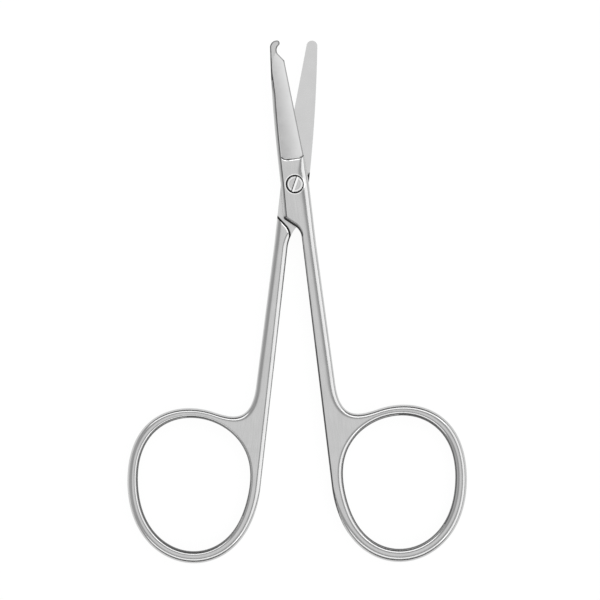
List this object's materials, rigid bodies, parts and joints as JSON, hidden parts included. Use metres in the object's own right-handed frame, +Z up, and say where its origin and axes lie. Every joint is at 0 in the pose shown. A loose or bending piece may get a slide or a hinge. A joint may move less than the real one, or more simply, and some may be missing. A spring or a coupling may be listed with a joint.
{
  "type": "ligature scissors",
  "caption": "Delicate scissors for lifting and cutting stitches: one blade ends in a small hook, the other is blunt, and a slotted screw joins two halves with finger rings.",
  "frame": {"origin": "on the pivot axis, in the flat underside on which the scissors lie", "axes": "+Y from the pivot towards the tips, +Z up from the table along the pivot axis, +X towards the hooked half's ring"},
  "size_m": [0.0577, 0.0888, 0.0026],
  "materials": {
    "satin_steel": "satin: finely brushed along the shanks and across the webs, even and matt on the ground blades",
    "turned_steel": "turned, with fine rings round the centre of the head"
  },
  "bodies": {
    "plain": {"plain_half": "satin_steel", "pivot_screw": "turned_steel"},
    "hooked": {"hooked_half": "satin_steel"}
  },
  "joints": [
    {"name": "pivot", "type": "hinge", "parent": "plain", "child": "hooked", "pos_m": [0, 0, 0.0013], "axis": [0, 0, 1], "range_deg": [-13, 122]}
  ]
}
